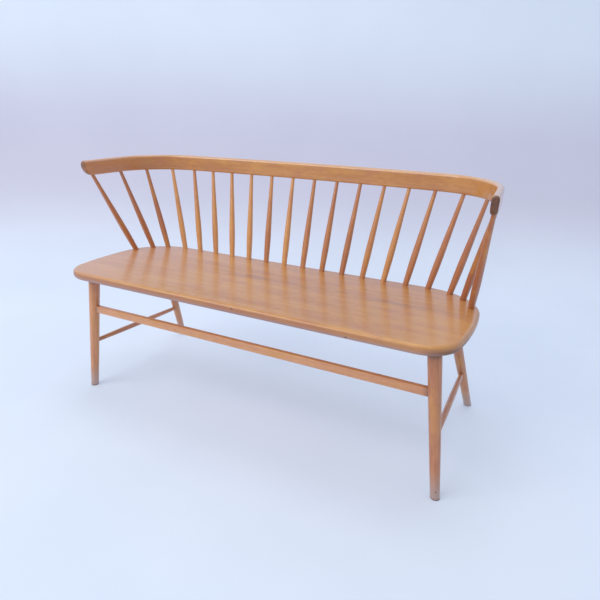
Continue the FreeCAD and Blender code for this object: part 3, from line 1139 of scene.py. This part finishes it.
wood_rng = random.Random(11)
for obj, slot_name in pieces:
    side_bar_here = obj.name.startswith("side_stretcher")
    obj.data.materials.append(side_bar_wood if side_bar_here else materials[slot_name])
    tone = piece_tones.get(obj.name, 0.0)
    if slot_name not in ("seat_wood", "rail_wood"):
        move_grain(obj, [wood_rng.uniform(0, wood_reach) for _ in range(3)])
        tone += wood_rng.uniform(-1, 1) * tone_spread
    give(obj.data, "tone", [tone] * len(obj.data.vertices))
    sharpen(obj, math.radians(crisp_edge_degrees))


# Camera, at the photograph's angle

camera_place = Vector((0.64377, -1.24091, 0.84549))
camera_yaw = math.radians(24.665)
camera_pitch = math.radians(19.394)
camera_roll = math.radians(-2.407)
camera_lens = 28.421
camera_sensor = 36.0
camera_shift = (0.0057, -0.0007)
camera_reach = 100.0


def add_camera():
    forward = Vector((
        -math.sin(camera_yaw) * math.cos(camera_pitch),
        math.cos(camera_yaw) * math.cos(camera_pitch),
        -math.sin(camera_pitch),
    ))
    level_right = Vector((math.cos(camera_yaw), math.sin(camera_yaw), 0))
    level_down = forward.cross(level_right)
    right = level_right * math.cos(camera_roll) + level_down * math.sin(camera_roll)
    down = level_down * math.cos(camera_roll) - level_right * math.sin(camera_roll)
    rotation = Matrix((right, -down, -forward)).transposed()
    data = bpy.data.cameras.new("camera")
    data.lens = camera_lens
    data.sensor_width = camera_sensor
    data.shift_x, data.shift_y = camera_shift
    data.clip_end = camera_reach
    obj = bpy.data.objects.new("camera", data)
    obj.matrix_world = Matrix.Translation(camera_place) @ rotation.to_4x4()
    bpy.context.scene.collection.objects.link(obj)
    bpy.context.scene.camera = obj


# Floor and backdrop in one sweep, from pairs of cool pale colours for its soft clouds

sweep_width = 14.0
sweep_front = -6.0
sweep_wall = 1.75
sweep_bend = 0.9
sweep_bend_steps = 12
sweep_top = 6.0
floor_colours = (rgb(188, 197, 206), rgb(194, 202, 211))
wall_colours = (rgb(164, 157, 168), rgb(168, 161, 172))
high_colours = (rgb(184, 192, 199), rgb(188, 196, 203))
floor_to_wall = (0.0, 0.55)
wall_to_high = (0.7, 1.5)
sweep_glow = (0.64, 0.74, 1.0, 1.0)
sweep_glow_strength = 0.365


def sweep_material():
    t = Tree("pale_backdrop")
    position = t.node("ShaderNodeNewGeometry", {})[0]
    level = t.parts(position)[2]
    cloud = t.noise(position, 1.6, 3.0, 0.55).ramp(0.3, 0.7)
    floor, wall, high = [
        t.colour_mix(cloud, *colours) for colours in (floor_colours, wall_colours, high_colours)
    ]
    colour = t.colour_mix(level.ramp(*floor_to_wall), floor, wall)
    colour = t.colour_mix(level.ramp(*wall_to_high), colour, high)
    shader = t.nodes.new("ShaderNodeBsdfPrincipled")
    shader.inputs["Roughness"].default_value = 0.85
    shader.inputs["Specular IOR Level"].default_value = 0.15
    shader.inputs["Emission Color"].default_value = sweep_glow
    shader.inputs["Emission Strength"].default_value = sweep_glow_strength
    t.links.new(colour.link, shader.inputs["Base Color"])
    t.links.new(shader.outputs[0], t.output.inputs["Surface"])
    return t.material


def add_sweep():
    bend_y = sweep_wall - sweep_bend
    profile = [(sweep_front, 0.0), (bend_y, 0.0)]
    for i in range(1, sweep_bend_steps + 1):
        angle = math.pi / 2 * i / sweep_bend_steps
        level = sweep_bend - math.cos(angle) * sweep_bend
        profile.append((bend_y + math.sin(angle) * sweep_bend, level))
    profile.append((sweep_wall, sweep_top))
    verts = []
    for y, z in profile:
        verts += [(-sweep_width / 2, y, z), (sweep_width / 2, y, z)]
    faces = [(2 * i, 2 * i + 1, 2 * i + 3, 2 * i + 2) for i in range(len(profile) - 1)]
    mesh = bpy.data.meshes.new("studio_sweep")
    mesh.from_pydata(verts, [], faces)
    for polygon in mesh.polygons:
        polygon.use_smooth = True
    mesh.materials.append(sweep_material())
    obj = bpy.data.objects.new("studio_sweep", mesh)
    bpy.context.scene.collection.objects.link(obj)
    obj.rotation_euler = (0, 0, camera_yaw)
    obj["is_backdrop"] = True


add_camera()
add_sweep()


# Light: a bright pale surround and two soft panels

def soft_panel(name, place_at, aim, size, power, colour):
    data = bpy.data.lights.new(name, "AREA")
    data.shape = "RECTANGLE"
    data.size, data.size_y = size
    data.energy = power
    data.color = colour
    obj = bpy.data.objects.new(name, data)
    obj.location = place_at
    obj.rotation_euler = (Vector(aim) - Vector(place_at)).to_track_quat("-Z", "Y").to_euler()
    bpy.context.scene.collection.objects.link(obj)


surround_colour = (0.95, 0.98, 1.0, 1.0)
surround_strength = 0.57

world = bpy.data.worlds.new("pale_surround")
bpy.context.scene.world = world
world.use_nodes = True
surround = world.node_tree.nodes["Background"]
surround.inputs["Color"].default_value = surround_colour
surround.inputs["Strength"].default_value = surround_strength

soft_panel(
    "front_panel", place_at=(-1.7, -3.0, 3.0), aim=(0, 0.1, 0.4), size=(3.0, 3.0), power=84.0,
    colour=(1.0, 0.98, 0.96),
)
soft_panel(
    "ceiling_panel", place_at=(0.0, 0.3, 4.2), aim=(0, 0.3, 0.0), size=(2.2, 1.3), power=23.0,
    colour=(1.0, 0.99, 0.98),
)

bpy.context.scene.view_settings.view_transform = "Standard"

sizes = {"loaded": bounds_loaded, "finished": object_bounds()}
plain = {key: [list(corner) for corner in value] for key, value in sizes.items()}
